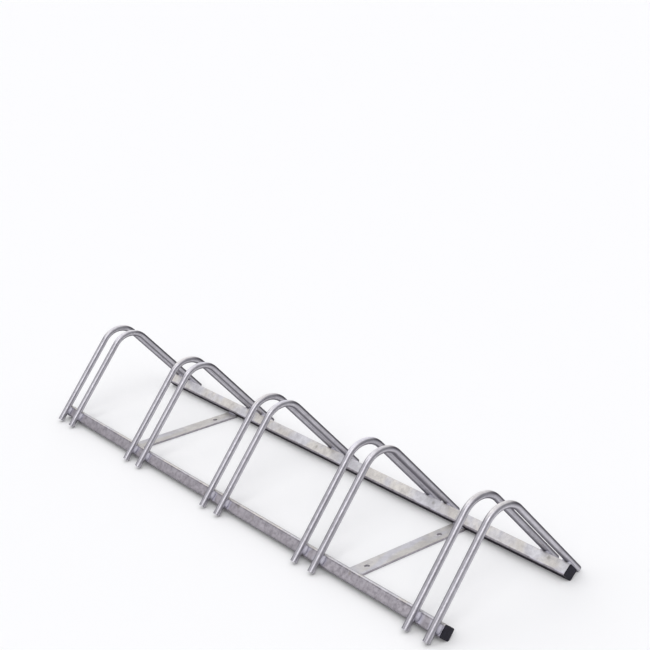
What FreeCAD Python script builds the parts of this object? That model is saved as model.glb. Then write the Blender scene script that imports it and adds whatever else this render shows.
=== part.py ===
import FreeCAD, Part
import math
import os
import re
import Sketcher

# Floor bike rack for five bicycles, millimetres.
# Ten bent tube hoops stand in five pairs, and a wheel is held between the two hoops of a pair.
# Two square rails run through under the hoops, turned flush with the legs that they are welded to.
# Two flat bars lie on the floor across the rails and take the floor bolts.
# X runs along the rails, Y across them, Z up. The origin is on the floor under the rack's middle.

SIZES = (
    ("pair_count", 5, "pairs of hoops, one wheel each"),
    ("pair_pitch", 370, "from the middle of one pair to the middle of the next"),
    ("tyre_slot", 46, "clear width between the two tubes of a pair"),
    ("hoop_tube", 16, "outer diameter of the hoop tube"),
    ("hoop_wall", 1.5, "wall of the hoop tube"),
    ("bend_radius", 57, "radius of the hoop's bend, to the middle of the tube"),
    ("leg_angle", 50, "slope of every leg, degrees from the floor"),
    ("rack_height", 230, "top of the hoops above the floor"),
    ("foot_clearance", 1, "leg ends above the floor"),
    ("rail_side", 28, "outer side of the square rail tube"),
    ("rail_wall", 2, "wall of the rail tube"),
    ("rail_corner", 4, "outer corner radius of the rail tube"),
    ("rail_overhang", 15, "rail end beyond the middle of the last hoop"),
    ("root_gap", 0.2, "gap between a leg and the rail that the weld closes over"),
    ("bar_width", 40, "width of the flat cross bar"),
    ("bar_thickness", 5, "thickness of the flat cross bar"),
    ("bar_corner", 1.5, "corner radius of the cross bar, seen from above"),
    ("bar_edge", 0.5, "rounding along the long edges of the cross bar"),
    ("bar_inboard", 280, "cross bar in from the middle of the end pair"),
    ("bar_gap", 0.1, "gap between the end of a cross bar and the rail"),
    ("anchor_spread", 205, "between the two anchor holes of a cross bar"),
    ("anchor_hole", 12, "diameter of an anchor hole"),
    ("cap_head", 3, "thickness of the end cap's head"),
    ("cap_rim", 1.2, "rounding round the head of the end cap"),
    ("cap_plug", 16, "depth of the end cap's plug in the rail"),
    ("cap_wall", 1.8, "wall of the end cap's plug"),
    ("cap_fit", 0.15, "gap between the plug and the bore of the rail"),
    ("weld_radius", 6, "roundness of a leg weld's bead"),
    ("weld_rise", 2, "middle of a leg weld's bead above the face of the rail"),
    ("weld_leg", 5, "toe of a leg weld beyond the side of the hoop tube"),
    ("weld_length", 24, "length of a leg weld"),
    ("weld_fit", 0.05, "gap between a weld bead and the round of the hoop tube"),
    ("bar_weld_radius", 4.5, "roundness of a cross bar weld's bead"),
    ("bar_weld_depth", 3.5, "middle of a cross bar weld's bead out of its groove"),
    ("bar_weld_length", 34, "length of a cross bar weld"),
)

# What follows from the sizes, in the order in which each can be worked out.
PLACES = (
    ("arc_height", "rack_height - hoop_tube / 2 - bend_radius"),
    ("leg_reach", "(arc_height + bend_radius / cos(leg_angle)) / tan(leg_angle)"),
    ("foot_height", "foot_clearance + hoop_tube / 2 * cos(leg_angle)"),
    ("rail_height", "(rail_side / 2 - rail_corner) * (sin(leg_angle) + cos(leg_angle)) + rail_corner"),
    ("rail_depth", "(hoop_tube + rail_side) / 2 + root_gap"),
    ("rail_reach", "leg_reach - (rail_depth + rail_height * cos(leg_angle)) / sin(leg_angle)"),
    ("rail_tilt", "90 - leg_angle"),
    ("hoop_offset", "(tyre_slot + hoop_tube) / 2"),
    ("end_pair", "(pair_count - 1) / 2 * pair_pitch"),
    ("rail_end", "end_pair + hoop_offset + rail_overhang"),
    ("bar_drop", "(rail_height - bar_thickness) * cos(leg_angle)"),
    ("groove_reach", "rail_reach - (rail_side / 2 - bar_drop) / sin(leg_angle)"),
    ("bar_place", "end_pair - bar_inboard"),
    ("bore_side", "rail_side - 2 * rail_wall"),
    ("bore_corner", "max(rail_corner - rail_wall; 0.2)"),
    ("plug_side", "bore_side - 2 * cap_fit"),
    ("plug_corner", "max(bore_corner - cap_fit; 0.2)"),
    ("plug_bore_corner", "max(plug_corner - cap_wall; 0.2)"),
)

Vector = FreeCAD.Vector
X_AXIS = Vector(1, 0, 0)

document = FreeCAD.newDocument("floor_bike_rack")
sizes = document.addObject("Spreadsheet::Sheet", "Sizes")
places = document.addObject("App::VarSet", "Places")
size_names = {name for name, value, meaning in SIZES}
place_names = {name for name, formula in PLACES}


def linked(formula):
    """Point each name of a formula at the sheet or at what follows from it."""
    def link(word):
        name = word.group()
        if name in size_names:
            return "Sizes." + name
        if name in place_names:
            return "Places." + name
        return name
    return re.sub(r"[a-z_]+", link, formula)


def bind(item, target, formula):
    """Tie one property of an object to a formula of the sizes."""
    item.setExpression(target, linked(formula))


def fill_sheet():
    """Write the driving sizes, one row each."""
    for row, (name, value, meaning) in enumerate(SIZES, start=1):
        sizes.set(f"A{row}", name)
        sizes.set(f"B{row}", str(value))
        sizes.set(f"C{row}", meaning)
        sizes.setAlias(f"B{row}", name)
    document.recompute()
    for name, formula in PLACES:
        places.addProperty("App::PropertyFloat", name)
        bind(places, name, formula)
    document.recompute()


def new_body(name):
    """Start one piece under the name of its file."""
    body = document.addObject("PartDesign::Body", name)
    body.Label = name
    return body


def new_sketch(body, name, role):
    """Start a sketch on one of the piece's own middle planes."""
    sketch = body.newObject("Sketcher::SketchObject", name)
    plane = next(item for item in body.Origin.OriginFeatures if item.Role == role)
    sketch.AttachmentSupport = [(plane, "")]
    sketch.MapMode = "FlatFace"
    return sketch


def measure(sketch, name, formula, *constraint):
    """Add a constraint that holds a size, and tie it to its formula."""
    index = sketch.addConstraint(Sketcher.Constraint(*constraint))
    sketch.renameConstraint(index, name)
    bind(sketch, "Constraints." + name, formula)


def rounded_rectangle(sketch, name, width, height, corner):
    """Draw a rectangle with round corners about the middle of the sketch."""
    half, radius = 10.0, 2.0
    inner = half - radius
    first = sketch.GeometryCount
    for quarter in range(4):
        turn = FreeCAD.Rotation(Vector(0, 0, 1), 90 * quarter)
        start = turn.multVec(Vector(-inner, -half, 0))
        end = turn.multVec(Vector(inner, -half, 0))
        centre = turn.multVec(Vector(inner, -inner, 0))
        angle = math.radians(90 * (quarter - 1))
        circle = Part.Circle(centre, Vector(0, 0, 1), radius)
        sketch.addGeometry(Part.LineSegment(start, end))
        sketch.addGeometry(Part.ArcOfCircle(circle, angle, angle + math.pi / 2))
    sides = [first + 2 * quarter for quarter in range(4)]
    arcs = [side + 1 for side in sides]
    for quarter in range(4):
        following = sides[(quarter + 1) % 4]
        sketch.addConstraint(Sketcher.Constraint("Tangent", sides[quarter], 2, arcs[quarter], 1))
        sketch.addConstraint(Sketcher.Constraint("Tangent", arcs[quarter], 2, following, 1))
        lie = "Vertical" if quarter % 2 else "Horizontal"
        sketch.addConstraint(Sketcher.Constraint(lie, sides[quarter]))
    for arc in arcs[1:]:
        sketch.addConstraint(Sketcher.Constraint("Equal", arcs[0], arc))
    sketch.addConstraint(Sketcher.Constraint("Symmetric", sides[0], 1, sides[2], 1, -1, 1))
    measure(sketch, name + "_corner", corner, "Radius", arcs[0], radius)
    measure(sketch, name + "_height", height, "DistanceY", sides[0], 1, sides[2], 1, 2 * half)
    measure(sketch, name + "_width", width, "DistanceX", sides[3], 1, sides[1], 1, 2 * half)


def pad(body, sketch, name, length, backwards=False, both_ways=False):
    """Raise a sketch to a length."""
    feature = body.newObject("PartDesign::Pad", name)
    feature.Profile = sketch
    feature.Reversed = backwards
    if both_ways:
        feature.SideType = "Symmetric"
    bind(feature, "Length", length)
    document.recompute()
    return feature


def round_edges(body, feature, name, radius, wanted):
    """Round the edges of a feature that a test picks."""
    edges = enumerate(feature.Shape.Edges, start=1)
    picked = [f"Edge{number}" for number, edge in edges if wanted(edge)]
    rounding = body.newObject("PartDesign::Fillet", name)
    rounding.Base = (feature, picked)
    bind(rounding, "Radius", radius)
    document.recompute()
    return rounding


def place(body, along="0", across="0", height="0", tilt=None):
    """Put a piece at its place, turned about the line of the rails where it leans."""
    bind(body, "Placement.Base.x", along)
    bind(body, "Placement.Base.y", across)
    bind(body, "Placement.Base.z", height)
    if tilt:
        body.Placement.Rotation = FreeCAD.Rotation(X_AXIS, 1)
        bind(body, "Placement.Rotation.Angle", "rail_tilt")
        bind(body, "Placement.Rotation.Axis.x", tilt)


def make_hoop(name, along):
    """Bend one hoop: a straight leg, one round bend and a straight leg, in round tube."""
    angle = math.radians(sizes.leg_angle)
    radius = sizes.bend_radius
    centre = Vector(0, places.arc_height, 0)
    slope = Vector(math.cos(angle), math.sin(angle), 0)
    bend_start = centre + Vector(-slope.y, slope.x, 0) * radius
    foot = bend_start - slope * ((bend_start.y - places.foot_height) / slope.y)
    bend_end = Vector(-bend_start.x, bend_start.y, 0)
    far_foot = Vector(-foot.x, foot.y, 0)
    rise = math.pi / 2 - angle

    body = new_body(name)
    route = new_sketch(body, name + "_route", "YZ_Plane")
    circle = Part.Circle(centre, Vector(0, 0, 1), radius)
    front = route.addGeometry(Part.LineSegment(foot, bend_start))
    bend = route.addGeometry(Part.ArcOfCircle(circle, rise, math.pi - rise))
    rear = route.addGeometry(Part.LineSegment(bend_end, far_foot))
    route.addConstraint(Sketcher.Constraint("Tangent", front, 2, bend, 2))
    route.addConstraint(Sketcher.Constraint("Tangent", rear, 1, bend, 1))
    route.addConstraint(Sketcher.Constraint("PointOnObject", bend, 3, -2))
    route.addConstraint(Sketcher.Constraint("Symmetric", front, 1, rear, 2, -2))
    measure(route, "bend", "bend_radius", "Radius", bend, radius)
    measure(route, "centre", "arc_height", "DistanceY", -1, 1, bend, 3, centre.y)
    measure(route, "foot", "foot_height", "DistanceY", -1, 1, front, 1, foot.y)
    measure(route, "slope", "leg_angle", "Angle", front, angle)
    document.recompute()

    ring = body.newObject("Sketcher::SketchObject", name + "_ring")
    ring.AttachmentSupport = [(route, "Edge1")]
    ring.MapMode = "NormalToEdge"
    for label, formula in (("outside", "hoop_tube"), ("inside", "hoop_tube - 2 * hoop_wall")):
        index = ring.addGeometry(Part.Circle(Vector(), Vector(0, 0, 1), sizes.hoop_tube / 2))
        ring.addConstraint(Sketcher.Constraint("Coincident", index, 3, -1, 1))
        measure(ring, label, formula, "Diameter", index, sizes.hoop_tube)
    document.recompute()

    tube = body.newObject("PartDesign::AdditivePipe", name + "_tube")
    tube.Profile = ring
    tube.Spine = (route, ["Edge1", "Edge2", "Edge3"])
    place(body, along=along)
    document.recompute()
    return body


def make_rail(name, side):
    """Cut one square rail, turned so that its outer face lies flat on the legs."""
    body = new_body(name)
    section = new_sketch(body, name + "_section", "YZ_Plane")
    rounded_rectangle(section, "outside", "rail_side", "rail_side", "rail_corner")
    rounded_rectangle(section, "bore", "bore_side", "bore_side", "bore_corner")
    pad(body, section, name + "_tube", "2 * rail_end", both_ways=True)
    place(body, across=f"{side} * rail_reach", height="rail_height", tilt=str(side))
    document.recompute()
    return body


def make_cap(name, side, end):
    """Mould one end cap: a flat head the size of the rail and a hollow plug in its bore."""
    outwards = end > 0
    body = new_body(name)
    head_shape = new_sketch(body, name + "_head_shape", "YZ_Plane")
    rounded_rectangle(head_shape, "head", "rail_side", "rail_side", "rail_corner")
    head = pad(body, head_shape, name + "_head", "cap_head", backwards=not outwards)
    front = end * sizes.cap_head

    def on_front(edge):
        return all(abs(corner.Point.x - front) < 0.001 for corner in edge.Vertexes)

    round_edges(body, head, name + "_rim", "cap_rim", on_front)
    plug_shape = new_sketch(body, name + "_plug_shape", "YZ_Plane")
    hollow = "plug_side - 2 * cap_wall"
    rounded_rectangle(plug_shape, "plug", "plug_side", "plug_side", "plug_corner")
    rounded_rectangle(plug_shape, "hollow", hollow, hollow, "plug_bore_corner")
    pad(body, plug_shape, name + "_plug", "cap_plug", backwards=outwards)
    place(body, f"{end} * rail_end", f"{side} * rail_reach", "rail_height", str(side))
    document.recompute()
    return body


def make_cross_bar(name, end):
    """Cut one flat cross bar with an anchor hole near each end."""
    body = new_body(name)
    outline = new_sketch(body, name + "_outline", "XY_Plane")
    length = "2 * (groove_reach - bar_gap)"
    rounded_rectangle(outline, "bar", "bar_width", length, "bar_corner")
    for side in (-1, 1):
        start = Vector(0, side * sizes.anchor_spread / 2, 0)
        hole = outline.addGeometry(Part.Circle(start, Vector(0, 0, 1), sizes.anchor_hole / 2))
        label = "front" if side < 0 else "rear"
        ends = ((hole, 3), (-1, 1)) if side < 0 else ((-1, 1), (hole, 3))
        outline.addConstraint(Sketcher.Constraint("PointOnObject", hole, 3, -2))
        measure(outline, label + "_hole", "anchor_hole", "Diameter", hole, sizes.anchor_hole)
        measure(outline, label + "_place", "anchor_spread / 2",
                "DistanceY", *ends[0], *ends[1], sizes.anchor_spread / 2)
    flat = pad(body, outline, name + "_flat", "bar_thickness")

    def long_edge(edge):
        spans = edge.BoundBox
        return spans.YLength > sizes.anchor_spread and spans.XLength < sizes.bar_edge

    round_edges(body, flat, name + "_edges", "bar_edge", long_edge)
    place(body, along=f"{end} * bar_place")
    document.recompute()
    return body


def capsule(radius, length, centre, direction):
    """A round bar with ball ends, the raw form of a weld bead."""
    half = direction * (length / 2 - radius)
    bead = Part.makeCylinder(radius, length - 2 * radius, centre - half, direction)
    for end in (centre - half, centre + half):
        bead = bead.fuse(Part.makeSphere(radius, end))
    return bead


def leg_weld(side_of_leg):
    """One bead in the groove between a leg and the face of the rail.

    Here Y points out of the rail's face, and Z runs along the leg.
    """
    radius = sizes.weld_radius
    length = sizes.weld_length
    toe = sizes.hoop_tube / 2 + sizes.weld_leg
    middle = toe - math.sqrt(radius ** 2 - sizes.weld_rise ** 2)
    centre = Vector(side_of_leg * middle, sizes.weld_rise, 0)
    bead = capsule(radius, length, centre, Vector(0, 0, 1))
    room = 2 * (toe + length)
    rail = Part.makeBox(room, room, room, Vector(-room / 2, -room, -room / 2))
    tube_radius = sizes.hoop_tube / 2 + sizes.weld_fit
    tube_middle = Vector(0, sizes.root_gap + sizes.hoop_tube / 2, -room / 2)
    tube = Part.makeCylinder(tube_radius, room, tube_middle, Vector(0, 0, 1))
    return bead.cut([rail, tube]).Solids


def bar_weld(side):
    """One bead in the groove between the top of a cross bar and the rail that leans over it."""
    angle = math.radians(sizes.leg_angle)
    depth = sizes.bar_weld_depth
    across = places.groove_reach - depth * math.cos(angle / 2)
    centre = Vector(0, side * across, sizes.bar_thickness + depth * math.sin(angle / 2))
    bead = capsule(sizes.bar_weld_radius, sizes.bar_weld_length, centre, X_AXIS)
    room = 2 * sizes.bar_weld_length
    start = Vector(-room / 2, -room / 2, -room)
    bar = Part.makeBox(room, room, room + sizes.bar_thickness)
    bar.translate(start + Vector(0, centre.y, 0))
    rail = Part.makeBox(room, sizes.rail_side, sizes.rail_side)
    rail.translate(Vector(-room / 2, -sizes.rail_side / 2, -sizes.rail_side / 2))
    rail.Placement = rail_seat(side).multiply(rail.Placement)
    return bead.cut([bar, rail]).Solids


def rail_seat(side):
    """Where the middle of a rail lies, and how it leans."""
    middle = Vector(0, side * places.rail_reach, places.rail_height)
    return FreeCAD.Placement(middle, FreeCAD.Rotation(X_AXIS, side * places.rail_tilt))


def make_welds(name, beads):
    """Gather the beads of one seam into one node."""
    welds = document.addObject("Part::Feature", name)
    welds.Label = name
    welds.Shape = Part.makeCompound(beads)
    welds.Placement = FreeCAD.Placement()
    return welds


def hoop_stations():
    """Each hoop's pair, its side of the pair and its formula for the place along the rails."""
    for pair in range(int(sizes.pair_count)):
        for side, word in ((-1, "left"), (1, "right")):
            along = f"{pair} * pair_pitch - end_pair + {side} * hoop_offset"
            yield f"hoop_{pair + 1}_{word}", along


def leg_welds(side, hoops):
    """The two beads at each leg on one rail."""
    face = rail_seat(side)
    face.Base += face.Rotation.multVec(Vector(0, side * sizes.rail_side / 2, 0))
    if side < 0:
        face.Rotation = face.Rotation.multiply(FreeCAD.Rotation(X_AXIS, 180))
    beads = []
    for hoop in hoops:
        for side_of_leg in (-1, 1):
            for bead in leg_weld(side_of_leg):
                bead = bead.transformed(face.toMatrix())
                beads.append(bead.translated(Vector(hoop.Placement.Base.x, 0, 0)))
    return beads


def cross_bar_welds(bars):
    """The bead at each end of each cross bar."""
    beads = []
    for bar in bars:
        for side in (-1, 1):
            for bead in bar_weld(side):
                beads.append(bead.translated(Vector(bar.Placement.Base.x, 0, 0)))
    return beads


def check(piece):
    """Stop if a piece, or any feature of it, has failed."""
    features = [piece] + list(getattr(piece, "Group", []))
    for feature in features:
        if {"Invalid", "Error"} & set(feature.State):
            raise RuntimeError(f"{feature.Label} failed: {feature.State}")
    if piece.Shape.isNull() or not piece.Shape.isValid():
        raise RuntimeError(f"{piece.Label} has no valid shape")
    if not piece.Shape.Solids:
        raise RuntimeError(f"{piece.Label} has no solid")


fill_sheet()
hoops = [make_hoop(name, along) for name, along in hoop_stations()]
rails = [make_rail("rail_front", -1), make_rail("rail_rear", 1)]
bars = [make_cross_bar("cross_bar_left", -1), make_cross_bar("cross_bar_right", 1)]
caps = [
    make_cap(f"end_cap_{rail_word}_{end_word}", side, end)
    for rail_word, side in (("front", -1), ("rear", 1))
    for end_word, end in (("left", -1), ("right", 1))
]
welds = [
    make_welds("welds_front_rail", leg_welds(-1, hoops)),
    make_welds("welds_rear_rail", leg_welds(1, hoops)),
    make_welds("welds_cross_bars", cross_bar_welds(bars)),
]
document.recompute()

pieces = hoops + rails + bars + caps + welds
for piece in pieces:
    check(piece)
os.makedirs("parts", exist_ok=True)
for piece in pieces:
    piece.Shape.exportStep(f"parts/{piece.Label}.step")
    box = piece.Shape.BoundBox
    print(f"{piece.Label}: {len(piece.Shape.Solids)} solid(s), {piece.Shape.Volume:.0f} mm3,"
          f" x {box.XMin:.1f} to {box.XMax:.1f}, y {box.YMin:.1f} to {box.YMax:.1f},"
          f" z {box.ZMin:.2f} to {box.ZMax:.2f}")
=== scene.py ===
import math

import bmesh
import bpy
from mathutils import Euler, Matrix, Vector


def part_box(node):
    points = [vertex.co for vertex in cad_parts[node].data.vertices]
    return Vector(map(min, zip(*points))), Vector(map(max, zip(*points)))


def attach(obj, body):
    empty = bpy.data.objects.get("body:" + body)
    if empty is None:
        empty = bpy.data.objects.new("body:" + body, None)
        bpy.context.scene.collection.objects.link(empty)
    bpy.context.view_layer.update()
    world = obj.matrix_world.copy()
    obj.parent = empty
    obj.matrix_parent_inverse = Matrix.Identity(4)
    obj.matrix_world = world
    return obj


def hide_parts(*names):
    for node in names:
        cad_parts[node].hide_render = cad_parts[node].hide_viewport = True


# Looks of a low floor rack: ten bent hoops of galvanised tube on two square rails, two flat bars with
# anchor holes, the weld beads between them, and four black moulded end caps.
# Metres. X runs along the rails, Y across them, Z up, and the floor is at zero.

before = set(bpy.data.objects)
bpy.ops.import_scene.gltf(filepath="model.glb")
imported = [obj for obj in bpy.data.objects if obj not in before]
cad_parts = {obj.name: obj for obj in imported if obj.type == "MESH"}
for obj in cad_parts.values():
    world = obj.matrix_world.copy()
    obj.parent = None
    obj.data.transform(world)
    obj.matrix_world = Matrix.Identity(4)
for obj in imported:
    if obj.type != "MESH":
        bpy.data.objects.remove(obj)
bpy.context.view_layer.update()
MM = 0.001

# The stock that the rack is made of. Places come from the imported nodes.
TUBE_RADIUS = 8 * MM
TUBE_WALL = 1.5 * MM
BEND_RADIUS = 57 * MM
LEG_SLOPE = math.radians(50)
RAIL_SIDE = 28 * MM
RAIL_WALL = 2 * MM
RAIL_CORNER = 4 * MM
BAR_CORNER = 1.5 * MM
BAR_EDGE = 0.5 * MM
ANCHOR_HOLE_RADIUS = 6 * MM
ANCHOR_SPREAD = 205 * MM
CUT_EDGE = 0.4 * MM

# Steps in which curves are drawn.
BEND_STEPS = 40
TUBE_STEPS = 40
HOLE_STEPS = 48
CORNER_STEPS = 8
BAR_CORNER_STEPS = 6

# Edges sharper than these are softened, and shaded as edges.
SOFTENED_ANGLE = math.radians(60)
SHARP_ANGLE = math.radians(35)

PAIRS = range(1, 6)
SIDES = ("left", "right")
RAILS = ("front", "rear")


# ---------------------------------------------------------------- small helpers

def linear(hex_colour):
    """Turn an sRGB hex colour into the linear colour that a shader takes."""
    channels = [int(hex_colour[place:place + 2], 16) / 255 for place in (1, 3, 5)]
    return tuple(c / 12.92 if c <= 0.04045 else ((c + 0.055) / 1.055) ** 2.4 for c in channels) + (1,)


def set_inputs(tree, node, inputs):
    """Set a node's inputs. Each takes a value, a link, or a list of links."""
    for socket, value in inputs.items():
        if isinstance(value, (bpy.types.NodeSocket, list)):
            for link in value if isinstance(value, list) else [value]:
                tree.links.new(link, node.inputs[socket])
        else:
            node.inputs[socket].default_value = value


def add_node(tree, kind, inputs=None, output=0, **settings):
    """Add a node with its settings and links, and return one of its outputs, if it has any."""
    made = tree.nodes.new(kind)
    for name, value in settings.items():
        setattr(made, name, value)
    set_inputs(tree, made, inputs or {})
    return made.outputs[output] if made.outputs else None


def middle(node):
    """The middle of a CAD node's box."""
    low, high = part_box(node)
    return (low + high) / 2


PAIR_PITCH = middle("hoop_2_left").x - middle("hoop_1_left").x
PAIR_HALF = (middle("hoop_1_right").x - middle("hoop_1_left").x) / 2


def new_object(name, data):
    """Put an object with this data in the scene, at the origin."""
    made = bpy.data.objects.new(name, data)
    bpy.context.scene.collection.objects.link(made)
    return made


def new_mesh(name, points, edges=(), faces=()):
    """An object at the origin that holds these points."""
    mesh = bpy.data.meshes.new(name)
    mesh.from_pydata(points, edges, faces)
    return new_object(name, mesh)


def drive_nodes(piece, tree, values):
    """Run a Geometry Nodes tree on a piece, with its inputs set by name."""
    modifier = piece.modifiers.new(tree.name, "NODES")
    modifier.node_group = tree
    identifiers = {item.name: item.identifier for item in tree.interface.items_tree}
    for name, value in values.items():
        modifier[identifiers[name]] = value


def apply_modifiers(piece):
    """Turn a piece and its modifiers into a plain mesh."""
    evaluated = piece.evaluated_get(bpy.context.evaluated_depsgraph_get())
    plain = bpy.data.meshes.new_from_object(evaluated)
    plain.name = piece.name
    piece.modifiers.clear()
    piece.data = plain


def finish_piece(piece, node):
    """Let a finished piece stand for its CAD node and move with the rack."""
    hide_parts(node)
    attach(piece, "root")


def soften(piece, edge):
    """Round the sharp edges a little, and keep flat faces flat in the shading."""
    bevel = piece.modifiers.new("softened edges", "BEVEL")
    bevel.width = edge
    bevel.segments = 3
    bevel.limit_method = "ANGLE"
    bevel.angle_limit = SOFTENED_ANGLE
    normals = piece.modifiers.new("flat faces stay flat", "WEIGHTED_NORMAL")
    normals.keep_sharp = True


def hollow(piece, wall):
    """Give an open skin its wall, inwards."""
    solid = piece.modifiers.new("wall", "SOLIDIFY")
    solid.thickness = wall
    solid.offset = -1


# ---------------------------------------------------------------- finishes

MATH = "ShaderNodeMath"
VECTOR_MATH = "ShaderNodeVectorMath"
NOISE = "ShaderNodeTexNoise"
BUMP = "ShaderNodeBump"
# A Map Range node's inputs: 0 is the value, 1 and 2 are the range that it comes from, and 3 and 4 the
# range that it goes to. Left alone, both ranges run from 0 to 1.
RANGE = "ShaderNodeMapRange"
# A Mix node's sockets for colours: its inputs 0, 6 and 7, and its output 2.
MIX = "ShaderNodeMix"
MIX_RESULT = 2

EDGE_ZINC = "#B4B2B8"
# Duller zinc: random dull patches, the darker line along the rails' upper corners, and painted shade on one
# flank of the tubes.
DULL_AND_SHADED_ZINC = "#68646A"
FRESH_ZINC = "#D4D2DE"
# The colour of the darker spots on the rails.
SPOT_ZINC = "#77705F"

# Sizes of the zinc's patterns: zones and clouds where the skin froze warm or cool and light or dull, and
# patches and waves where it ran. The skin's own grain, near 0.2 mm, is too fine to show at 2 mm or more
# in a pixel, so it is drawn as coarse as 1.6 mm.
ZONE = 80 * MM
CLOUD = 45 * MM
PATCH = 9 * MM
WAVE = 9 * MM
WAVE_DEPTH = 0.5 * MM
GRAIN = 1.6 * MM
GRAIN_DEPTH = 0.1 * MM

# A fixed direction: the flank of each tube that faces it is painted darker, as painted shade.
SHADED_SIDE = (0.5, 0.83, 0.25)

# Fresh zinc round a leg: how far from the leg's middle it ends, how far it is full, and how much the
# clouds shift that.
FRESH_END = 22 * MM
FRESH_FULL = 15 * MM
FRESH_SHIFT = 8 * MM
# A darker line along the upper corner of a rail's outer face: the corner's place, and the line's reach
# from it.
OUTER_CORNER = (0, 173.4 * MM, 34.3 * MM)
DARK_LINE_END = 1.9 * MM
DARK_LINE_FULL = 0.6 * MM
# Darker spots on the rails: their middles in mm, and their reach.
DARK_SPOTS = ((374, 162, 31), (731, 164, 32), (-71, 161, 30), (-56, -184, 22), (79, -175, 33), (141, -178, 29),
          (497, -177, 31))
SPOT_END = 6 * MM
SPOT_FULL = 1.5 * MM


def new_material(name):
    """Start a material, and return it with its tree and its shader."""
    material = bpy.data.materials.new(name)
    material.use_nodes = True
    tree = material.node_tree
    return material, tree, tree.nodes["Principled BSDF"]


def galvanised_steel(name, facings, cool_top, crystal, gloss, turned_up=(0.1, 0.95), waviness=0.1,
                     mottle=0.2, patina=0.5, side_shade=0.0, rail=False):
    """Hot-dip galvanised steel: a zinc skin of frozen crystals, each a little lighter or duller than
    the next. Where it faces the sky a pale, matt patina sets in, its colour there partly painted light;
    its sides stay plain grey and mottled, and its undersides are painted shade. Facings are the colours
    by how far up a surface faces, from -1 to 1, so painted light and shade, and turned_up is the part of
    that in which the patina sets in. Cool_top is the cooler of the two tones on top. The side shade is
    how dark the flank that faces one fixed side is painted, as painted shade."""
    material, tree, shader = new_material(name)
    place = add_node(tree, "ShaderNodeTexCoord", output="Object")
    normal = add_node(tree, "ShaderNodeTexCoord", output="Normal")
    height = add_node(tree, "ShaderNodeSeparateXYZ", {0: normal}, "Z")
    upward = add_node(tree, RANGE, {0: height, 1: turned_up[0], 2: turned_up[1]})
    facing = add_node(tree, RANGE, {0: height, 1: -1.0})
    # The colours by facing: painted light on top, partly a real patina, and painted shade underneath.
    patina_and_painted_light = add_node(tree, "ShaderNodeValToRGB", {0: facing})
    stops = patina_and_painted_light.node.color_ramp.elements
    while len(stops) < len(facings):
        stops.new(1.0)
    for stop, (up, tone) in zip(stops, facings):
        stop.position = (up + 1) / 2
        stop.color = linear(tone)

    clouds = add_node(tree, NOISE, {"Vector": place, "Scale": 1 / CLOUD, "Detail": 4.0})
    patches = add_node(tree, NOISE,
                       {"Vector": place, "Scale": 1 / PATCH, "Detail": 4.0, "Roughness": 0.65})
    grain = add_node(tree, NOISE, {"Vector": place, "Scale": 1 / GRAIN, "Detail": 3.0})
    cells = add_node(tree, "ShaderNodeTexVoronoi", {"Vector": place, "Scale": 1 / crystal}, "Color")
    lightness = add_node(tree, "ShaderNodeSeparateColor", {0: cells}, "Red")

    # Warm and cool zones on top run aslant, as the zinc did.
    slanted = add_node(tree, "ShaderNodeMapping",
                       {0: place, "Rotation": (0.6, 0.0, 0.5), "Scale": (1.0, 0.5, 1.0)})
    zones = add_node(tree, NOISE,
                     {"Vector": slanted, "Scale": 1 / ZONE, "Detail": 3.0, "Distortion": 0.6})
    cool = add_node(tree, RANGE, {0: zones, 1: 0.45, 2: 0.58})
    cooled = add_node(tree, MATH, {0: cool, 1: upward}, operation="MULTIPLY")
    colour = add_node(tree, MIX, {0: cooled, 6: patina_and_painted_light, 7: linear(cool_top)}, MIX_RESULT,
                      data_type="RGBA")

    # Each pattern dulls the zinc between two of its levels, and the patina hides most of the patches.
    most = add_node(tree, RANGE, {0: upward, 3: mottle, 4: mottle * 0.35})
    for pattern, low, high, strength in ((patches, 0.42, 0.68, most), (lightness, 0.0, 1.0, 0.16),
                                         (grain, 0.5, 0.8, 0.16), (clouds, 0.45, 0.7, 0.14)):
        dull = add_node(tree, RANGE, {0: pattern, 1: low, 2: high, 4: strength})
        colour = add_node(tree, MIX, {0: dull, 6: colour, 7: linear(DULL_AND_SHADED_ZINC)}, MIX_RESULT,
                          data_type="RGBA")
    # Painted shade: the flank that faces the fixed direction above is darkened.
    toward_shaded_side = add_node(tree, VECTOR_MATH, {0: normal, 1: SHADED_SIDE}, "Value",
                      operation="DOT_PRODUCT")
    run = add_node(tree, RANGE, {0: toward_shaded_side, 1: 0.63, 2: 0.82, 4: side_shade})
    colour = add_node(tree, MIX, {0: run, 6: colour, 7: linear(DULL_AND_SHADED_ZINC)}, MIX_RESULT, data_type="RGBA")
    if rail:
        colour = mark_rail(tree, place, clouds, patches, height, colour)

    metal = add_node(tree, RANGE, {0: upward, 3: 1.0, 4: 1.0 - patina})
    rough = add_node(tree, RANGE, {0: patches, 1: 0.3, 2: 0.7, 3: gloss - 0.04, 4: gloss + 0.08})
    ripples = add_node(tree, NOISE, {"Vector": place, "Scale": 1 / WAVE})
    waves = add_node(tree, BUMP, {"Height": ripples, "Strength": waviness, "Distance": WAVE_DEPTH})
    bump = add_node(tree, BUMP,
                    {"Height": grain, "Strength": 0.15, "Distance": GRAIN_DEPTH, "Normal": waves})
    set_inputs(tree, shader, {"Base Color": colour, "Metallic": metal, "Roughness": rough, "Normal": bump,
                              "Specular Tint": linear(EDGE_ZINC)})
    return material


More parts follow.
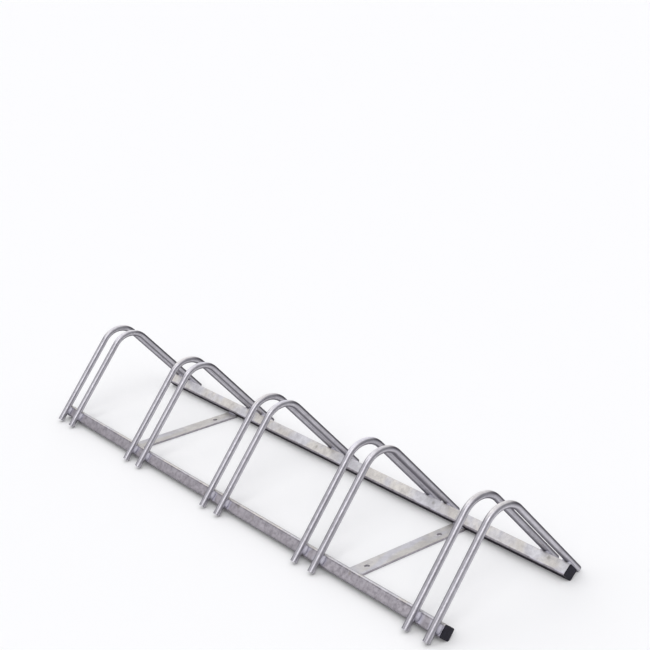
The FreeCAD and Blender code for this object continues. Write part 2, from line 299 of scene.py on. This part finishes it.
def mark_rail(tree, place, clouds, patches, height, colour):
    """Brighten a rail's zinc round each leg, where the weld's heat made it grow thicker, and darken a line
    along the upper corner of its outer face and a few spots at listed places."""
    spot = add_node(tree, "ShaderNodeSeparateXYZ", {0: place}).node.outputs
    wrapped = add_node(tree, MATH, {0: spot["X"], 1: PAIR_PITCH / 2, 2: -PAIR_PITCH / 2}, operation="WRAP")
    from_pair = add_node(tree, MATH, {0: wrapped}, operation="ABSOLUTE")
    beyond = add_node(tree, MATH, {0: from_pair, 1: PAIR_HALF}, operation="SUBTRACT")
    from_leg = add_node(tree, MATH, {0: beyond}, operation="ABSOLUTE")
    shift = add_node(tree, RANGE, {0: clouds, 1: 0.3, 2: 0.7, 3: -FRESH_SHIFT, 4: FRESH_SHIFT})
    inside = add_node(tree, MATH, {0: shift, 1: from_leg}, operation="SUBTRACT")
    # Only the outer face turns fresh: it faces up, but less than the upper one does.
    lit = add_node(tree, RANGE, {0: height, 1: 0.2, 2: 0.5, 4: 0.9})
    welded = add_node(tree, RANGE, {0: height, 1: 0.75, 2: 0.68, 4: lit})
    heat = add_node(tree, RANGE, {0: inside, 1: -FRESH_END, 2: -FRESH_FULL, 4: welded})
    colour = add_node(tree, MIX, {0: heat, 6: colour, 7: linear(FRESH_ZINC)}, MIX_RESULT,
                      data_type="RGBA")

    # A darker line along the upper corner of the outer face.
    across = add_node(tree, MATH, {0: spot["Y"]}, operation="ABSOLUTE")
    section = add_node(tree, "ShaderNodeCombineXYZ", {"Y": across, "Z": spot["Z"]})
    away = add_node(tree, VECTOR_MATH, {0: section, 1: OUTER_CORNER}, "Value", operation="DISTANCE")
    thick = add_node(tree, RANGE, {0: patches, 1: 0.3, 2: 0.7, 3: 0.2, 4: 0.75})
    dark_line = add_node(tree, RANGE, {0: away, 1: DARK_LINE_END, 2: DARK_LINE_FULL, 4: thick})
    colour = add_node(tree, MIX, {0: dark_line, 6: colour, 7: linear(DULL_AND_SHADED_ZINC)}, MIX_RESULT,
                      data_type="RGBA")

    # A few darker spots at listed places.
    for dark_spot in DARK_SPOTS:
        centre = tuple(number * MM for number in dark_spot)
        away = add_node(tree, VECTOR_MATH, {0: place, 1: centre}, "Value", operation="DISTANCE")
        dark = add_node(tree, RANGE, {0: away, 1: SPOT_END, 2: SPOT_FULL, 4: 0.4})
        colour = add_node(tree, MIX, {0: dark, 6: colour, 7: linear(SPOT_ZINC)}, MIX_RESULT,
                          data_type="RGBA")
    return colour


# The mould's spark-eroded pits, near 0.1 mm, are too fine to show, so they are drawn as coarse as 0.7 mm.
SCUFF = 5 * MM
PIT = 0.7 * MM
PIT_DEPTH = 0.1 * MM
CLEAN_PLASTIC = "#13111D"
SCUFFED_PLASTIC = "#353145"


def moulded_plastic(name):
    """Moulded black polyethylene: nearly black and satin, paler and more matt where it is scuffed, with
    the fine grain of a spark-eroded mould."""
    material, tree, shader = new_material(name)
    place = add_node(tree, "ShaderNodeTexCoord", output="Object")
    scuffs = add_node(tree, NOISE,
                      {"Vector": place, "Scale": 1 / SCUFF, "Detail": 5.0, "Roughness": 0.7})
    worn = add_node(tree, RANGE, {0: scuffs, 1: 0.5, 2: 0.8})
    colour = add_node(tree, MIX, {0: worn, 6: linear(CLEAN_PLASTIC), 7: linear(SCUFFED_PLASTIC)},
                      MIX_RESULT, data_type="RGBA")
    rough = add_node(tree, RANGE, {0: worn, 3: 0.45, 4: 0.65})
    pits = add_node(tree, NOISE, {"Vector": place, "Scale": 1 / PIT})
    grain = add_node(tree, BUMP, {"Height": pits, "Strength": 0.3, "Distance": PIT_DEPTH})
    set_inputs(tree, shader, {"Base Color": colour, "Roughness": rough, "Normal": grain,
                              "Specular IOR Level": 0.2})
    return material


# Drawn round tube under zinc: the zinc runs off a bend and leaves a thin, even skin. Its colours by
# facing are painted light and shade: a painted highlight as one soft streak along the tube, plain grey
# flanks, pale tops of bends as painted light and a dark, painted shade along one flank.
HOOP_ZINC = galvanised_steel(
    "galvanised drawn tube",
    ((-0.62, "#77757B"), (-0.44, "#9C9AA0"), (-0.3, "#D0CED4"), (-0.06, "#D0CED4"), (0.14, "#B0AEB4"),
     (0.64, "#B0AEB4"), (0.84, "#ECE9E8")),
    cool_top="#ECEAF2", crystal=7 * MM, gloss=0.36, turned_up=(0.62, 0.86), waviness=0.06, mottle=0.1,
    patina=0.45, side_shade=0.9)
# Rolled and welded square tube under zinc: flat sides keep a thicker skin, so the eye gets mottled outer
# faces and warm and cool zones on top. Its colours by facing paint the upper faces pale, partly patina
# and partly painted light, and the undersides nearly black as painted shade.
RAIL_ZINC = galvanised_steel(
    "galvanised square tube",
    ((-1.0, "#242226"), (-0.62, "#242226"), (-0.45, "#B4AFB5"), (0.66, "#B8B3B9"), (0.76, "#E1DDD7")),
    cool_top="#DBDADE", crystal=10 * MM, gloss=0.45, turned_up=(0.66, 0.76), mottle=0.5, rail=True)
# Hot-rolled flat bar under zinc: it cools slowly, so the eye gets wide crystals in an even, pale face.
# Its colours by facing paint the top paler, partly patina and partly painted light, and the underside
# dark as painted shade.
BAR_ZINC = galvanised_steel(
    "galvanised flat bar", ((-0.6, "#3A363A"), (-0.3, "#B8B4BA"), (0.3, "#B8B4BA"), (0.9, "#D8D5D0")),
    cool_top="#D6D5DA", crystal=12 * MM, gloss=0.45)
# Weld metal under zinc: its silicon makes the zinc grow thick, so the eye gets a matt, pale bead,
# painted a little darker where it faces down, as painted shade.
WELD_ZINC = galvanised_steel(
    "zinc over weld metal", ((-0.6, "#AAA8B2"), (0.2, "#B4B2BC"), (0.9, "#BEBCC6")),
    cool_top="#BEBCC6", crystal=4 * MM, gloss=0.6, mottle=0.05, patina=0.9)
# Polyethylene, coloured through and moulded: the eye gets a soft black that hardly shines.
CAP_PLASTIC = moulded_plastic("moulded black polyethylene")


# ---------------------------------------------------------------- hoops

def new_tree(name, inputs):
    """Start a Geometry Nodes tree with its named inputs."""
    tree = bpy.data.node_groups.new(name, "GeometryNodeTree")
    tree.interface.new_socket("Geometry", in_out="INPUT", socket_type="NodeSocketGeometry")
    for label, kind in inputs.items():
        tree.interface.new_socket(label, in_out="INPUT", socket_type="NodeSocket" + kind)
    tree.interface.new_socket("Geometry", in_out="OUTPUT", socket_type="NodeSocketGeometry")
    return tree, add_node(tree, "NodeGroupInput").node.outputs


def end_tree(tree, geometry, finish):
    """Close a tree: real geometry, smooth, in its own finish."""
    real = add_node(tree, "GeometryNodeRealizeInstances", {"Geometry": geometry})
    smooth = add_node(tree, "GeometryNodeSetShadeSmooth", {"Geometry": real})
    dressed = add_node(tree, "GeometryNodeSetMaterial", {"Geometry": smooth, "Material": finish})
    add_node(tree, "NodeGroupOutput", {"Geometry": dressed})


def bent_tube_tree():
    """Round tube along a route whose corners are bent to one radius."""
    tree, given = new_tree("bent tube", {"Tube Radius": "Float", "Bend Radius": "Float",
                                         "Bend Steps": "Int", "Round Steps": "Int",
                                         "Finish": "Material"})
    route = add_node(tree, "GeometryNodeMeshToCurve", {"Mesh": given["Geometry"]})
    bent = add_node(tree, "GeometryNodeFilletCurve",
                    {"Curve": route, "Count": given["Bend Steps"], "Radius": given["Bend Radius"]},
                    mode="POLY")
    ring = add_node(tree, "GeometryNodeCurvePrimitiveCircle",
                    {"Resolution": given["Round Steps"], "Radius": given["Tube Radius"]})
    tube = add_node(tree, "GeometryNodeCurveToMesh", {"Curve": bent, "Profile Curve": ring})
    end_tree(tree, tube, given["Finish"])
    return tree


def make_hoops():
    """Bend the ten hoops, each a leg, a round bend and a leg."""
    tree = bent_tube_tree()
    for pair in PAIRS:
        for side in SIDES:
            node = f"hoop_{pair}_{side}"
            low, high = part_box(node)
            along = (low.x + high.x) / 2
            bend_centre = high.z - TUBE_RADIUS - BEND_RADIUS
            peak = bend_centre + BEND_RADIUS / math.cos(LEG_SLOPE)
            foot = low.z + TUBE_RADIUS * math.cos(LEG_SLOPE)
            reach = (peak - foot) / math.tan(LEG_SLOPE)
            corners = [(along, -reach, foot), (along, 0, peak), (along, reach, foot)]
            hoop = new_mesh(node + "_tube", corners, edges=[(0, 1), (1, 2)])
            drive_nodes(hoop, tree, {"Tube Radius": TUBE_RADIUS, "Bend Radius": BEND_RADIUS,
                                     "Bend Steps": BEND_STEPS, "Round Steps": TUBE_STEPS,
                                     "Finish": HOOP_ZINC})
            hollow(hoop, TUBE_WALL)
            soften(hoop, CUT_EDGE)
            apply_modifiers(hoop)
            finish_piece(hoop, node)


# ---------------------------------------------------------------- rails

def square_tube_tree():
    """Square tube with round corners along a straight route, turned about it."""
    tree, given = new_tree("square tube", {"Side": "Float", "Corner": "Float", "Corner Steps": "Int",
                                           "Turn": "Float", "Finish": "Material"})
    route = add_node(tree, "GeometryNodeMeshToCurve", {"Mesh": given["Geometry"]})
    square = add_node(tree, "GeometryNodeCurvePrimitiveQuadrilateral",
                      {"Width": given["Side"], "Height": given["Side"]})
    rounded = add_node(tree, "GeometryNodeFilletCurve",
                       {"Curve": square, "Count": given["Corner Steps"], "Radius": given["Corner"]},
                       mode="POLY")
    turn = add_node(tree, "ShaderNodeCombineXYZ", {"Z": given["Turn"]})
    turned = add_node(tree, "GeometryNodeTransform", {"Geometry": rounded, "Rotation": turn})
    tube = add_node(tree, "GeometryNodeCurveToMesh", {"Curve": route, "Profile Curve": turned})
    end_tree(tree, tube, given["Finish"])
    return tree


def make_rails():
    """Cut the two rails, each turned so that its outer face lies flat on the legs."""
    tree = square_tube_tree()
    for word in RAILS:
        node = "rail_" + word
        low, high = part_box(node)
        centre = middle(node)
        ends = [(low.x, centre.y, centre.z), (high.x, centre.y, centre.z)]
        rail = new_mesh(node + "_tube", ends, edges=[(0, 1)])
        drive_nodes(rail, tree, {"Side": RAIL_SIDE, "Corner": RAIL_CORNER, "Corner Steps": CORNER_STEPS,
                                 "Turn": -math.copysign(LEG_SLOPE, centre.y), "Finish": RAIL_ZINC})
        hollow(rail, RAIL_WALL)
        soften(rail, CUT_EDGE)
        apply_modifiers(rail)
        finish_piece(rail, node)


# ---------------------------------------------------------------- cross bars

def holed_plate_tree():
    """Flat sheet with round corners and two holes in line, moved to its middle."""
    tree, given = new_tree("holed plate", {"Width": "Float", "Length": "Float", "Corner": "Float",
                                           "Hole Radius": "Float", "Hole Spread": "Float",
                                           "Middle": "Vector", "Finish": "Material"})
    outline = add_node(tree, "GeometryNodeCurvePrimitiveQuadrilateral",
                       {"Width": given["Width"], "Height": given["Length"]})
    rounded = add_node(tree, "GeometryNodeFilletCurve",
                       {"Curve": outline, "Count": BAR_CORNER_STEPS, "Radius": given["Corner"]},
                       mode="POLY")
    hole = add_node(tree, "GeometryNodeCurvePrimitiveCircle",
                    {"Resolution": HOLE_STEPS, "Radius": given["Hole Radius"]})
    lines = [rounded]
    for way in (-0.5, 0.5):
        across = add_node(tree, MATH, {0: given["Hole Spread"], 1: way}, operation="MULTIPLY")
        shift = add_node(tree, "ShaderNodeCombineXYZ", {"Y": across})
        lines.append(add_node(tree, "GeometryNodeTransform", {"Geometry": hole, "Translation": shift}))
    joined = add_node(tree, "GeometryNodeJoinGeometry", {0: lines})
    plate = add_node(tree, "GeometryNodeFillCurve", {"Curve": joined})
    placed = add_node(tree, "GeometryNodeTransform", {"Geometry": plate, "Translation": given["Middle"]})
    end_tree(tree, placed, given["Finish"])
    return tree


def make_cross_bars():
    """Cut the two flat bars, each punched for two floor anchors."""
    tree = holed_plate_tree()
    for side in SIDES:
        node = "cross_bar_" + side
        low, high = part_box(node)
        centre = middle(node)
        bar = new_mesh(node + "_flat", [centre])
        top = Vector((centre.x, centre.y, high.z))
        drive_nodes(bar, tree, {"Width": high.x - low.x, "Length": high.y - low.y, "Corner": BAR_CORNER,
                                "Hole Radius": ANCHOR_HOLE_RADIUS, "Hole Spread": ANCHOR_SPREAD,
                                "Middle": top, "Finish": BAR_ZINC})
        hollow(bar, high.z - low.z)
        soften(bar, BAR_EDGE)
        apply_modifiers(bar)
        finish_piece(bar, node)


# ---------------------------------------------------------------- end caps

CAP_PLUG = 16 * MM
CAP_PLUG_SIDE = 23.7 * MM
PLUG_TAPER = 2.6 * MM
PLUG_TIP_CORNER = 0.6 * MM

# The plug's ribs grip the rail's bore. One rib: how far along it, how deep under its crest, and the
# corner radius there.
RIBS = 4
FIRST_RIB = 0.8 * MM
RIB_PITCH = 3.9 * MM
RIB_DEPTH = 1.4 * MM
CORE_CORNER = 0.8 * MM
CREST_CORNER = 1.6 * MM
RIB_PROFILE = ((0, RIB_DEPTH, CORE_CORNER), (1.6 * MM, 0, CREST_CORNER), (2.3 * MM, 0, CREST_CORNER),
               (2.4 * MM, RIB_DEPTH, CORE_CORNER))

# The head has a fine edge behind, a round rim and a slight crown, with the gate mark in its middle.
CAP_HEAD = 3 * MM
HEAD_EDGE = 0.3 * MM
HEAD_RIM = 1.2 * MM
HEAD_CROWN = 0.35 * MM
RIM_STEPS = 5
GATE = 1.1 * MM
GATE_DEPTH = 0.25 * MM
# Points nearer than this are one.
MERGED = 0.005 * MM


def rounded_square(half, corner):
    """Points round a square with round corners."""
    points = []
    inner = (half - corner) * math.sqrt(2)
    for quarter in range(4):
        middle_turn = math.pi / 2 * (quarter + 0.5)
        for step in range(CORNER_STEPS + 1):
            turn = math.pi / 2 * (quarter + step / CORNER_STEPS)
            points.append((inner * math.cos(middle_turn) + corner * math.cos(turn),
                           inner * math.sin(middle_turn) + corner * math.sin(turn)))
    return points


def cap_sections():
    """The cap's outline from the tip of its ribbed plug to the crown of its head: how far out of the
    rail's end, half the side, and the corner radius."""
    half_plug = CAP_PLUG_SIDE / 2
    half_head = RAIL_SIDE / 2
    sections = [(-CAP_PLUG, half_plug - PLUG_TAPER, PLUG_TIP_CORNER)]
    for rib in range(RIBS):
        start = -CAP_PLUG + FIRST_RIB + rib * RIB_PITCH
        sections += [(start + along, half_plug - depth, corner) for along, depth, corner in RIB_PROFILE]
    sections += [(0, half_plug - RIB_DEPTH, CORE_CORNER),
                 (0, half_head - HEAD_EDGE, RAIL_CORNER - HEAD_EDGE), (HEAD_EDGE, half_head, RAIL_CORNER)]
    for step in range(RIM_STEPS + 1):
        turn = math.pi / 2 * step / RIM_STEPS
        inset = HEAD_RIM * (1 - math.cos(turn))
        height = CAP_HEAD - HEAD_CROWN - HEAD_RIM * (1 - math.sin(turn))
        sections.append((height, half_head - inset, RAIL_CORNER - inset))
    for share in (0.75, 0.5, 0.3, 0.12):
        rise = HEAD_CROWN * (1 - share ** 2)
        sections.append((CAP_HEAD - HEAD_CROWN + rise, half_head * share, RAIL_CORNER * share))
    # A corner nearly as large as half the side makes the gate mark round.
    sections += [(CAP_HEAD, GATE, GATE * 0.99), (CAP_HEAD - GATE_DEPTH, GATE * 0.7, GATE * 0.69)]
    return sections


def make_caps():
    """Mould the four caps, each a ribbed plug under a slightly crowned head with a gate mark."""
    sections = cap_sections()
    for word in RAILS:
        rail_middle = middle("rail_" + word)
        turn = -math.copysign(LEG_SLOPE, rail_middle.y)
        for side in SIDES:
            node = f"end_cap_{word}_{side}"
            way = math.copysign(1, middle(node).x)
            rail_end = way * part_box("rail_" + word)[1].x
            points = []
            for out, half, corner in sections:
                for across, up in rounded_square(half, corner):
                    around = Matrix.Rotation(turn, 2) @ Vector((across, up))
                    points.append((rail_end + way * out, rail_middle.y + around.x, rail_middle.z + around.y))
            count = len(points) // len(sections)
            faces = [(ring * count + step, ring * count + (step + 1) % count,
                      (ring + 1) * count + (step + 1) % count, (ring + 1) * count + step)
                     for ring in range(len(sections) - 1) for step in range(count)]
            faces += [range(count), range(len(points) - count, len(points))]
            cap = new_mesh(node + "_moulding", points, faces=faces)
            close_skin(cap.data)
            cap.data.materials.append(CAP_PLASTIC)
            finish_piece(cap, node)


def close_skin(mesh):
    """Merge doubled points, turn the faces outwards and shade them smooth up to sharp edges."""
    work = bmesh.new()
    work.from_mesh(mesh)
    bmesh.ops.remove_doubles(work, verts=work.verts, dist=MERGED)
    bmesh.ops.recalc_face_normals(work, faces=work.faces)
    work.to_mesh(mesh)
    work.free()
    mesh.shade_smooth()
    mesh.set_sharp_from_angle(angle=SHARP_ANGLE)


# ---------------------------------------------------------------- welds

# A leg's bead: how far its middle is from the leg's and over the rail's face, its length, and half its
# width and height.
WELD_MIDDLE = 6.2 * MM
WELD_RISE = 0.5 * MM
WELD_LENGTH = 21 * MM
WELD_SECTION = (8.5 * MM, 6.0 * MM)
# A bar's bead lies in the groove between the bar and the rail, this far from the groove's bottom.
BAR_WELD_DEPTH = 3.5 * MM
BAR_WELD_LENGTH = 34 * MM
BAR_WELD_SECTION = (4.5 * MM, 4.5 * MM)

BEAD_STEPS = 44
BEAD_ROUND_STEPS = 20
BEAD_BLUNTNESS = 0.3
BEAD_TIP = 0.0005
BEAD_RIPPLES = 10.0
BEAD_RIPPLE_DEPTH = 0.05
BEAD_LUMP = 9 * MM
BEAD_UNEVENNESS = 1.2 * MM


def weld_tree():
    """Weld beads: one starts at each point of a mesh, turned as the point says. A bead is a run of
    overlapping ripples with round ends, and noise makes each one differ a little."""
    tree, given = new_tree("weld beads", {"Length": "Float", "Half Width": "Float", "Half Height": "Float",
                                          "Ripples": "Float", "Ripple Depth": "Float",
                                          "Unevenness": "Float", "Seed": "Float", "Finish": "Material"})
    line = add_node(tree, "GeometryNodeCurvePrimitiveLine",
                    {"Direction": (0, 0, 1), "Length": given["Length"]}, mode="DIRECTION")
    run = add_node(tree, "GeometryNodeResampleCurve", {"Curve": line, "Count": BEAD_STEPS}, mode="COUNT")
    share = add_node(tree, "GeometryNodeSplineParameter", output="Factor")
    half_turn = add_node(tree, MATH, {0: share, 1: math.pi}, operation="MULTIPLY")
    arch = add_node(tree, MATH, {0: half_turn}, operation="SINE")
    lifted = add_node(tree, MATH, {0: arch, 1: BEAD_TIP}, operation="MAXIMUM")
    rounding = add_node(tree, MATH, {0: lifted, 1: BEAD_BLUNTNESS}, operation="POWER")
    counted = add_node(tree, MATH, {0: share, 1: given["Ripples"]}, operation="MULTIPLY")
    ripple = add_node(tree, MATH, {0: counted}, operation="FRACT")
    swell = add_node(tree, MATH, {0: ripple, 1: given["Ripple Depth"], 2: 1.0}, operation="MULTIPLY_ADD")
    thickness = add_node(tree, MATH, {0: rounding, 1: swell}, operation="MULTIPLY")
    ring = add_node(tree, "GeometryNodeCurvePrimitiveCircle",
                    {"Resolution": BEAD_ROUND_STEPS, "Radius": 1.0})
    bead = add_node(tree, "GeometryNodeCurveToMesh",
                    {"Curve": run, "Profile Curve": ring, "Scale": thickness, "Fill Caps": True})
    shape = add_node(tree, "ShaderNodeCombineXYZ",
                     {"X": given["Half Width"], "Y": given["Half Height"], "Z": 1.0})
    sized = add_node(tree, "GeometryNodeTransform", {"Geometry": bead, "Scale": shape})
    turn = add_node(tree, "GeometryNodeInputNamedAttribute", {"Name": "turn"}, data_type="FLOAT_VECTOR")
    rotation = add_node(tree, "FunctionNodeEulerToRotation", {"Euler": turn})
    beads = add_node(tree, "GeometryNodeInstanceOnPoints",
                     {"Points": given["Geometry"], "Instance": sized, "Rotation": rotation})
    real = add_node(tree, "GeometryNodeRealizeInstances", {"Geometry": beads})
    noise = add_node(tree, NOISE, {"Scale": 1 / BEAD_LUMP, "W": given["Seed"]}, "Color",
                     noise_dimensions="4D")
    centred = add_node(tree, VECTOR_MATH, {0: noise, 1: (0.5, 0.5, 0.5)}, operation="SUBTRACT")
    offset = add_node(tree, VECTOR_MATH, {0: centred, "Scale": given["Unevenness"]}, operation="SCALE")
    uneven = add_node(tree, "GeometryNodeSetPosition", {"Geometry": real, "Offset": offset})
    end_tree(tree, uneven, given["Finish"])
    return tree


def lay_beads(node, tree, places, turn, length, section, seed):
    """Lay a bead from each place, all turned alike, and finish them as one piece."""
    seam = new_mesh(node + "_beads", places)
    turns = seam.data.attributes.new("turn", "FLOAT_VECTOR", "POINT")
    for point in turns.data:
        point.vector = turn
    half_width, half_height = section
    drive_nodes(seam, tree, {"Length": length, "Half Width": half_width, "Half Height": half_height,
                             "Ripples": BEAD_RIPPLES, "Ripple Depth": BEAD_RIPPLE_DEPTH,
                             "Unevenness": BEAD_UNEVENNESS, "Seed": seed, "Finish": WELD_ZINC})
    apply_modifiers(seam)
    finish_piece(seam, node)


def make_welds():
    """Weld every leg to its rail on both sides, and every end of a cross bar into its groove."""
    tree = weld_tree()
    x_axis = Vector((1, 0, 0))
    for number, word in enumerate(RAILS):
        rail_middle = middle("rail_" + word)
        way = math.copysign(1, rail_middle.y)
        outwards = Vector((0, way * math.sin(LEG_SLOPE), math.cos(LEG_SLOPE)))
        along_leg = x_axis.cross(outwards)
        start = Vector((0, rail_middle.y, rail_middle.z)) - along_leg * WELD_LENGTH / 2
        start += outwards * (RAIL_SIDE / 2 + WELD_RISE)
        turn = Matrix((x_axis, outwards, along_leg)).transposed().to_euler()
        places = [start + x_axis * (middle(f"hoop_{pair}_{side}").x + edge)
                  for pair in PAIRS for side in SIDES for edge in (-WELD_MIDDLE, WELD_MIDDLE)]
        lay_beads("welds_" + word + "_rail", tree, places, turn, WELD_LENGTH, WELD_SECTION,
                  seed=float(number))
    places = []
    for side in SIDES:
        low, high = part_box("cross_bar_" + side)
        for way in (-1, 1):
            reach = high.y - BAR_WELD_DEPTH * math.cos(LEG_SLOPE / 2)
            places.append(((low.x + high.x - BAR_WELD_LENGTH) / 2, way * reach,
                           high.z + BAR_WELD_DEPTH * math.sin(LEG_SLOPE / 2)))
    lay_beads("welds_cross_bars", tree, places, (0, math.pi / 2, 0), BAR_WELD_LENGTH, BAR_WELD_SECTION,
              seed=2.0)


# ---------------------------------------------------------------- studio

# The camera as solved from the rack's own parallel lines in the photograph.
PHOTO_WIDTH = 650
FOCAL_PIXELS = 1341.0
CAMERA_PLACE = Vector((2.4797, -1.6275, 1.4026))
CAMERA_YAW = math.radians(54.20)
CAMERA_PITCH = math.radians(18.64)
CAMERA_ROLL = math.radians(-3.75)

FLOOR_RADIUS = 60.0
FLOOR_STEPS = 64
FLOOR_UNDER = 0.2 * MM
FLOOR_WHITE = "#F6F6F6"

# The surround's colours low and high, the heights between which it changes, and its strength.
SURROUND_LOW = "#C2C2C6"
SURROUND_HIGH = "#F4F4F8"
SURROUND_RISE = (0.2, 0.6)
SURROUND_STRENGTH = 0.655


def make_camera():
    """Stand where the photograph was taken from, held level but rolled a little."""
    lens = bpy.data.cameras.new("photograph")
    lens.lens = FOCAL_PIXELS / PHOTO_WIDTH * lens.sensor_width
    camera = new_object("photograph", lens)
    level = Euler((math.pi / 2 - CAMERA_PITCH, 0, CAMERA_YAW)).to_matrix()
    turn = level @ Matrix.Rotation(CAMERA_ROLL, 3, "Z")
    camera.matrix_world = Matrix.Translation(CAMERA_PLACE) @ turn.to_4x4()
    bpy.context.scene.camera = camera


def make_floor():
    """A plain pale floor that keeps the rack's shadow. It lies just under the bars, so that neither
    flickers through the other."""
    corners = [(FLOOR_RADIUS * math.cos(turn), FLOOR_RADIUS * math.sin(turn), -FLOOR_UNDER)
               for turn in (math.tau * step / FLOOR_STEPS for step in range(FLOOR_STEPS))]
    floor = new_mesh("studio_floor", corners, faces=[range(FLOOR_STEPS)])
    paint, tree, shader = new_material("matt white studio floor")
    set_inputs(tree, shader, {"Base Color": linear(FLOOR_WHITE), "Roughness": 1.0,
                              "Specular IOR Level": 0.0})
    floor.data.materials.append(paint)


def make_softbox(name, azimuth, elevation, spread, strength):
    """A large soft lamp, far away, seen from the rack in a direction counted from +X."""
    lamp = bpy.data.lights.new(name, "SUN")
    lamp.angle = math.radians(spread)
    lamp.energy = strength
    made = new_object(name, lamp)
    turn = math.radians(azimuth)
    rise = math.radians(elevation)
    direction = Vector((math.cos(turn) * math.cos(rise), math.sin(turn) * math.cos(rise), math.sin(rise)))
    made.rotation_euler = direction.to_track_quat("Z", "Y").to_euler()


def make_sky():
    """A plain pale surround, dimmer at the horizon than overhead, so that round metal has edges."""
    world = bpy.data.worlds.new("studio surround")
    bpy.context.scene.world = world
    world.use_nodes = True
    tree = world.node_tree
    direction = add_node(tree, "ShaderNodeTexCoord", output="Generated")
    height = add_node(tree, "ShaderNodeSeparateXYZ", {0: direction}, "Z")
    rise = add_node(tree, RANGE, {0: height, 1: SURROUND_RISE[0], 2: SURROUND_RISE[1]})
    colour = add_node(tree, MIX, {0: rise, 6: linear(SURROUND_LOW), 7: linear(SURROUND_HIGH)},
                      MIX_RESULT, data_type="RGBA")
    set_inputs(tree, tree.nodes["Background"], {"Color": colour, "Strength": SURROUND_STRENGTH})


make_hoops()
make_rails()
make_cross_bars()
make_caps()
make_welds()
make_camera()
make_floor()
make_sky()
make_softbox("softbox over the camera", azimuth=-44, elevation=40, spread=42, strength=1.15)
make_softbox("softbox at the far end", azimuth=-142, elevation=45, spread=58, strength=0.55)
make_softbox("softbox behind the rack", azimuth=147, elevation=30, spread=50, strength=0.4)
make_softbox("softbox overhead", azimuth=-5, elevation=58, spread=40, strength=0.34)

bpy.context.scene.view_settings.view_transform = "Standard"
